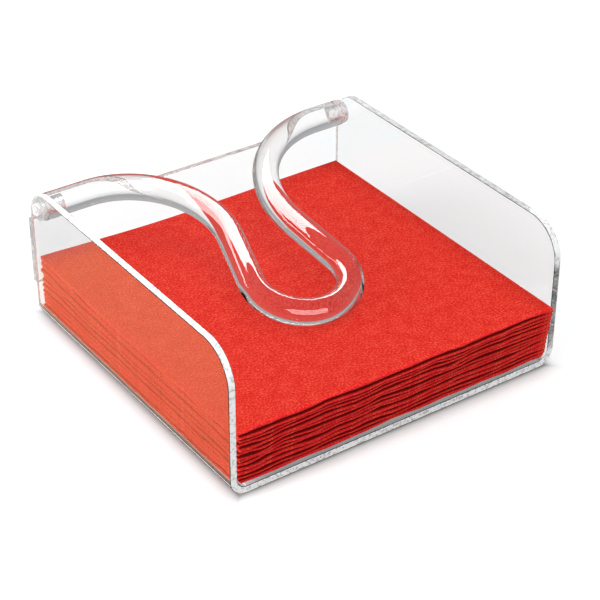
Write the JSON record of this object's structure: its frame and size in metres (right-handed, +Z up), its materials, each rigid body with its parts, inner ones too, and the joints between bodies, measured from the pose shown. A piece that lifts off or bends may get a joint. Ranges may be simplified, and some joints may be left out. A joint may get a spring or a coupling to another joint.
{
  "type": "napkin holder",
  "caption": "Clear bent-sheet tray for folded napkins, open at the front, with a hinged bent rod whose loop holds the stack down.",
  "frame": {"origin": "on the table, under the middle of the whole holder's box", "axes": "+X to the right when facing the open front, +Y to the rear strip, +Z up"},
  "size_m": [0.178, 0.171, 0.0725],
  "materials": {
    "clear_sheet": "clear polished acrylic sheet, edges polished",
    "clear_strip": "clear polished acrylic sheet",
    "clear_rod": "clear polished acrylic rod",
    "clear_pin": "clear acrylic, lightly turned",
    "clear_washer": "clear acrylic",
    "napkin_paper": "matt red tissue paper, finely embossed"
  },
  "bodies": {
    "holder": {"tray": "clear_sheet", "rear_strip": "clear_strip"},
    "arm": {"weight_arm": "clear_rod", "hinge_pin_left": "clear_pin", "hinge_pin_right": "clear_pin", "spacer_washer_left": "clear_washer", "spacer_washer_right": "clear_washer"},
    "stack": {"napkin_01": "napkin_paper", "napkin_02": "napkin_paper", "napkin_03": "napkin_paper", "napkin_04": "napkin_paper", "napkin_05": "napkin_paper", "napkin_06": "napkin_paper", "napkin_07": "napkin_paper", "napkin_08": "napkin_paper", "napkin_09": "napkin_paper", "napkin_10": "napkin_paper", "napkin_11": "napkin_paper", "napkin_12": "napkin_paper"},
    "top_napkin": {"napkin_13": "napkin_paper"}
  },
  "joints": [
    {"name": "arm_lift", "type": "hinge", "parent": "holder", "child": "arm", "pos_m": [0, 0.0775, 0.0622], "axis": [-1, 0, 0], "range_deg": [0, 198]},
    {"name": "stack_slide", "type": "slide", "parent": "holder", "child": "stack", "axis": [0, -1, 0], "range_m": [0, 0.17]},
    {"name": "top_napkin_pull", "type": "slide", "parent": "stack", "child": "top_napkin", "axis": [0, -1, 0], "range_m": [0, 0.17]}
  ]
}
